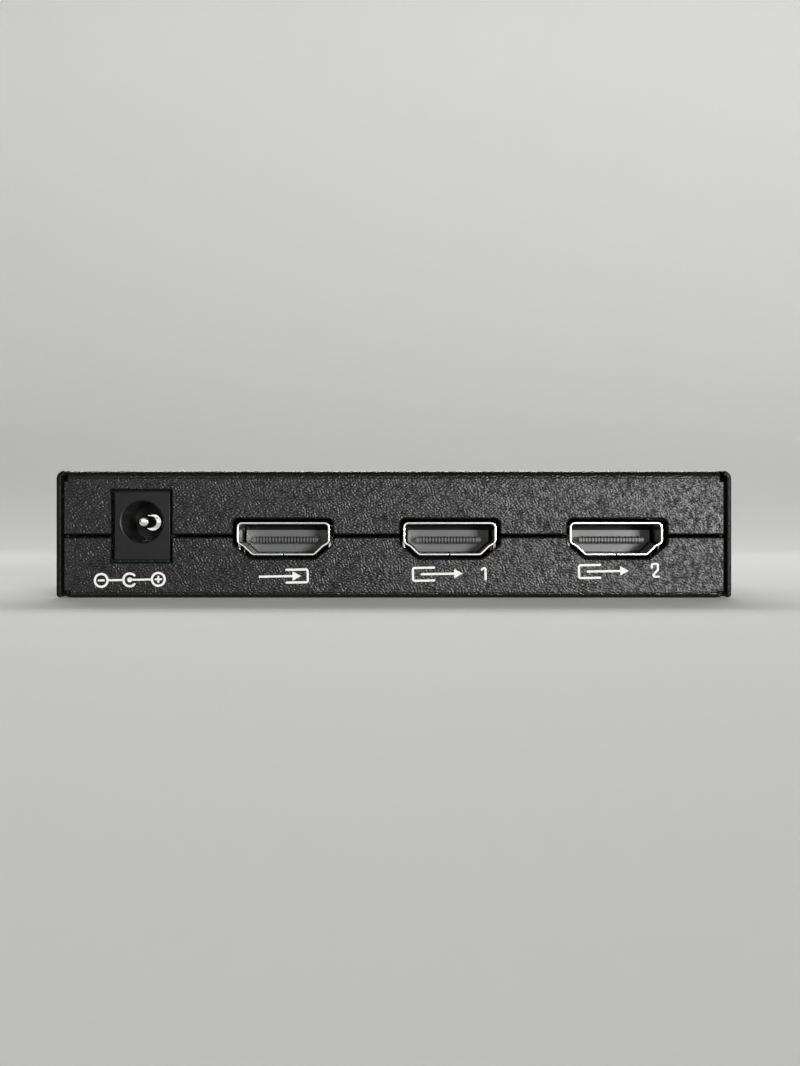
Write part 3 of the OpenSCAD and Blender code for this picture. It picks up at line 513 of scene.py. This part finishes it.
def make_teeth(socket):
    low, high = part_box(f"{socket}_insulator")
    middle_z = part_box(f"{socket}_contacts")[1].z - CONTACT_TOP * MM
    tip = Vector(((low.x + high.x) / 2, low.y, middle_z))
    teeth = bmesh.new()
    first = -(TOOTH_COUNT - 1) / 2
    for number in range(TOOTH_COUNT):
        wrap(teeth, tip, (first + number) * TOOTH_PITCH, TOOTH_FOOT, TOOTH_CREST, TOOTH_PROUD)
    finished(teeth, f"{socket}_tongue_ribs", finishes["socket_plastic"])
    width = TOOTH_COUNT * TOOTH_PITCH
    # Painted shade: a near-black band of plastic under the ribs stands in for the shade in the slots between
    # them.
    slot_shade = bmesh.new()
    wrap(slot_shade, tip, 0.0, width, width, SLOT_SHADE_PROUD)
    finished(slot_shade, f"{socket}_tongue_slot_shade", finishes["inlet_plastic"])


for socket in SOCKETS:
    make_teeth(socket)


# Printed signs on the port face: thin plates of white ink, drawn in (u, v) millimetres from a baseline.

INK_PROUD = 0.03
INK_SUNK = 0.02
STROKE = 0.34
SIGN_H = 2.35
SIGN_TILT = math.radians(1.05)
TURN_STEPS = 6
RING_STEPS = 32
CORNER_R = 0.3
HAIR = 0.02
HEAD_LEN = 1.35
HEAD_HALF = 0.72
BRACKET_LEN = 3.5
INWARD_STOP = 1.2
OUTWARD_START = 1.4
OUTWARD_END = 8.0
DIGIT_W = 1.45
DIGIT_CORNER_R = CORNER_R * 0.7
RING_GAP = 42


def arc(centre, radius, start, end, steps):
    """Points on a circle from one angle to another, in degrees."""
    angles = [math.radians(start + (end - start) * i / steps) for i in range(steps + 1)]
    return [Vector((centre[0] + radius * math.cos(a), centre[1] + radius * math.sin(a))) for a in angles]


def circle(centre, radius):
    return arc(centre, radius, 0, 360, RING_STEPS)[:-1]


def bar(u0, v0, u1, v1):
    return [Vector(p) for p in ((u0, v0), (u1, v0), (u1, v1), (u0, v1))]


def eased(points, radius=CORNER_R):
    """A path with each corner replaced by an arc."""
    path = [Vector(points[0])]
    for before, corner, after in zip(points, points[1:], points[2:]):
        corner = Vector(corner)
        into = (corner - Vector(before)).normalized()
        away = (Vector(after) - corner).normalized()
        turn = math.atan2(into.cross(away), into.dot(away))
        start = corner - into * radius * math.tan(abs(turn) / 2)
        inward = Vector((-into.y, into.x)) * math.copysign(radius, turn)
        centre = start + inward
        first = math.degrees(math.atan2(-inward.y, -inward.x))
        path += arc(centre, radius, first, first + math.degrees(turn), TURN_STEPS)
    return path + [Vector(points[-1])]


def line(path, width=STROKE):
    """The outline of a line of even width with round ends."""
    left, right = [], []
    for i, point in enumerate(path):
        along = (path[min(i + 1, len(path) - 1)] - path[max(i - 1, 0)]).normalized()
        side = Vector((-along.y, along.x)) * width / 2
        left.append(point + side)
        right.append(point - side)
    ends = []
    for point, side in ((path[-1], left[-1]), (path[0], right[0])):
        first = math.degrees(math.atan2(side.y - point.y, side.x - point.x))
        ends.append(arc(point, width / 2, first, first - 180, TURN_STEPS)[1:-1])
    return left + ends[0] + right[::-1] + ends[1]


def arrow(u0, u1, v):
    """An arrow to the right, as one outline."""
    neck, wing, half = u1 - HEAD_LEN, HEAD_HALF, STROKE / 2
    shape = [(u0, -half), (neck, -half), (neck, -wing), (u1, 0), (neck, wing), (neck, half), (u0, half)]
    return [Vector((u, v + dv)) for u, dv in shape]


def bracket(u_open, u_closed):
    """Three sides of a box, open towards u_open."""
    top = SIGN_H - STROKE / 2
    bottom = STROKE / 2
    closed = u_closed + math.copysign(STROKE / 2, u_open - u_closed)
    return line(eased([(u_open, top), (closed, top), (closed, bottom), (u_open, bottom)]))


DIGITS = {
    1: ((0.2, 1.72), (0.78, 2.18), (0.78, 0.17)),
    2: ((0.17, 1.6), (0.22, 2.18), (1.14, 2.18), (1.14, 1.3), (0.17, 0.17), (1.26, 0.17)),
}


def digit(number, u):
    return line(eased([(u + du, v) for du, v in DIGITS[number]], DIGIT_CORNER_R))


def polarity_sign(width):
    """The usual sign for an inlet whose pin is positive: minus to the sleeve, plus to the pin."""
    radius, v = SIGN_H / 2, SIGN_H / 2
    left, middle, right = radius, width / 2, width - radius
    arm, half, dot = 0.55, 0.15, 0.38
    plus = [(-arm, -half), (-half, -half), (-half, -arm), (half, -arm), (half, -half), (arm, -half),
            (arm, half), (half, half), (half, arm), (-half, arm), (-half, half), (-arm, half)]
    return [
        [circle((left, v), radius), circle((left, v), radius - STROKE)],
        [circle((right, v), radius), circle((right, v), radius - STROKE)],
        [bar(left - arm, v - half, left + arm, v + half)],
        [[Vector((right + du, v + dv)) for du, dv in plus]],
        [line(arc((middle, v), radius - STROKE / 2, RING_GAP, 360 - RING_GAP, RING_STEPS))],
        [circle((middle, v), dot)],
        [bar(left + radius + HAIR, v - half, middle - radius - HAIR, v + half)],
        [bar(middle + dot + HAIR, v - half, right - radius - HAIR, v + half)],
    ]


def inward_sign(width):
    stop = width - INWARD_STOP
    return [[bracket(width - BRACKET_LEN, width)], [arrow(0.0, stop, SIGN_H / 2)]]


def outward_sign(width, number):
    pointer = arrow(OUTWARD_START, OUTWARD_END, SIGN_H / 2)
    return [[bracket(BRACKET_LEN, 0.0)], [pointer], [digit(number, width - DIGIT_W)]]


def on_face(corner, point, proud):
    turned = point.copy()
    turned.rotate(Matrix.Rotation(SIGN_TILT, 2))
    return Vector(((corner[0] + turned.x) * MM, cad_box[0].y - proud * MM, (corner[1] + turned.y) * MM))


def plate(form, loops, corner):
    """A thin solid from an outline and, after it, its holes."""
    flat = [point for loop in loops for point in loop]
    front = [form.verts.new(on_face(corner, point, INK_PROUD)) for point in flat]
    back = [form.verts.new(on_face(corner, point, -INK_SUNK)) for point in flat]
    for corners in tessellate_polygon([[point.to_3d() for point in loop] for loop in loops]):
        form.faces.new([front[i] for i in corners])
        form.faces.new([back[i] for i in corners])
    first = 0
    for loop in loops:
        ring = list(range(first, first + len(loop)))
        for here, there in zip(ring, ring[1:] + ring[:1]):
            form.faces.new((front[here], front[there], back[there], back[here]))
        first += len(loop)


SIGNS = {
    "inlet_sign": ((-47.06, 1.57), polarity_sign(11.3)),
    "input_sign": ((-21.16, 2.17), inward_sign(7.84)),
    "output_1_sign": ((2.84, 2.53), outward_sign(12.24, 1)),
    "output_2_sign": ((28.89, 2.95), outward_sign(12.87, 2)),
}
for name, (corner, shapes) in SIGNS.items():
    form = bmesh.new()
    for loops in shapes:
        plate(form, loops, corner)
    finished(form, name, ink)


# The stage: a pale floor that sweeps up far behind, soft lights around the part and an even fill.

FLOOR_COLOUR = (0.72, 0.72, 0.705)
FLOOR_LIFT = 0.14
FLOOR_FRONT = -2.5
FLOOR_HALF = 2.5
SWEEP_START = 0.4
SWEEP_RADIUS = 0.5
SWEEP_TOP = 1.8
SWEEP_STEPS = 24


def pale_paper():
    finish = Finish("pale_paper", FLOOR_COLOUR, 0.9)
    cloud = finish.noise(60.0, detail=3.0)
    lighter = tuple(c * 1.03 for c in FLOOR_COLOUR)
    finish.set("Base Color", finish.mixed(cloud, FLOOR_COLOUR, lighter))
    finish.set("Normal", finish.bump(finish.noise(1.2, detail=3.0), 0.02))
    rays = finish.add("ShaderNodeLightPath").outputs
    mirrored = finish.math("MAXIMUM", rays["Is Glossy Ray"], rays["Is Transmission Ray"])
    seen = finish.math("MAXIMUM", rays["Is Camera Ray"], mirrored)
    finish.set("Emission Color", (*FLOOR_COLOUR, 1.0))
    finish.set("Emission Strength", finish.math("MULTIPLY", seen, FLOOR_LIFT))
    return finish.material


def sweep_profile():
    """Points (y, z) along the floor, up the bend and up the wall."""
    points = [(FLOOR_FRONT, 0.0)]
    for step in range(SWEEP_STEPS + 1):
        turn = math.pi / 2 * step / SWEEP_STEPS
        y = SWEEP_START + SWEEP_RADIUS * math.sin(turn)
        points.append((y, SWEEP_RADIUS * (1 - math.cos(turn))))
    points.append((SWEEP_START + SWEEP_RADIUS, SWEEP_TOP))
    return points


def make_floor():
    form = bmesh.new()
    rows = [[form.verts.new((x, y, z)) for x in (-FLOOR_HALF, FLOOR_HALF)] for y, z in sweep_profile()]
    for low, high in zip(rows, rows[1:]):
        form.faces.new((low[0], low[1], high[1], high[0])).smooth = True
    mesh = bpy.data.meshes.new("floor")
    form.to_mesh(mesh)
    form.free()
    mesh.materials.append(pale_paper())
    floor = bpy.data.objects.new("floor", mesh)
    bpy.context.scene.collection.objects.link(floor)


def aim(thing, place, target):
    thing.location = place
    thing.rotation_euler = (Vector(target) - Vector(place)).to_track_quat("-Z", "Y").to_euler()
    bpy.context.scene.collection.objects.link(thing)


SOFTBOXES = {
    "front": {"place": (0.02, -1.6, 0.17), "size": (1.3, 0.36), "power": 1.5},
    "key": {"place": (1.08, -2.26, 0.2), "size": (0.6, 0.36), "power": 62.0},
    "side": {"place": (-0.9, -0.75, 0.35), "size": (0.15, 0.7), "power": 0.3},
    "back": {
        "place": (0.0, 0.7, 0.52),
        "size": (1.0, 0.2),
        "power": 2.0,
        "spread": 100,
        "target": (0.0, -0.2, 0.0),
    },
}
FILL_LEVEL = 0.08


def make_softbox(name, place, size, power, spread=180, target=(0.0, 0.0, 0.01)):
    lamp = bpy.data.lights.new(name, "AREA")
    lamp.shape = "RECTANGLE"
    lamp.size, lamp.size_y = size
    lamp.energy = power
    lamp.spread = math.radians(spread)
    aim(bpy.data.objects.new(name, lamp), place, target)


def make_lights():
    for name, kind in SOFTBOXES.items():
        make_softbox(name, **kind)
    world = bpy.data.worlds.new("fill")
    bpy.context.scene.world = world
    world.use_nodes = True
    sky = world.node_tree.nodes["Background"]
    sky.inputs["Color"].default_value = (1.0, 1.0, 1.0, 1.0)
    sky.inputs["Strength"].default_value = FILL_LEVEL


CAMERA_PLACE = (0.96 * MM, -202.5 * MM, 10.2 * MM)
CAMERA_LENS = 37.67
CAMERA_SENSOR = 36.0
CAMERA_NEAR = 0.005


def make_camera():
    data = bpy.data.cameras.new("view")
    data.lens = CAMERA_LENS
    data.sensor_width = CAMERA_SENSOR
    data.clip_start = CAMERA_NEAR
    camera = bpy.data.objects.new("view", data)
    aim(camera, CAMERA_PLACE, Vector(CAMERA_PLACE) + Vector((0.0, 1.0, 0.0)))
    bpy.context.scene.camera = camera


make_floor()
make_lights()
make_camera()
bpy.context.scene.view_settings.view_transform = "Standard"
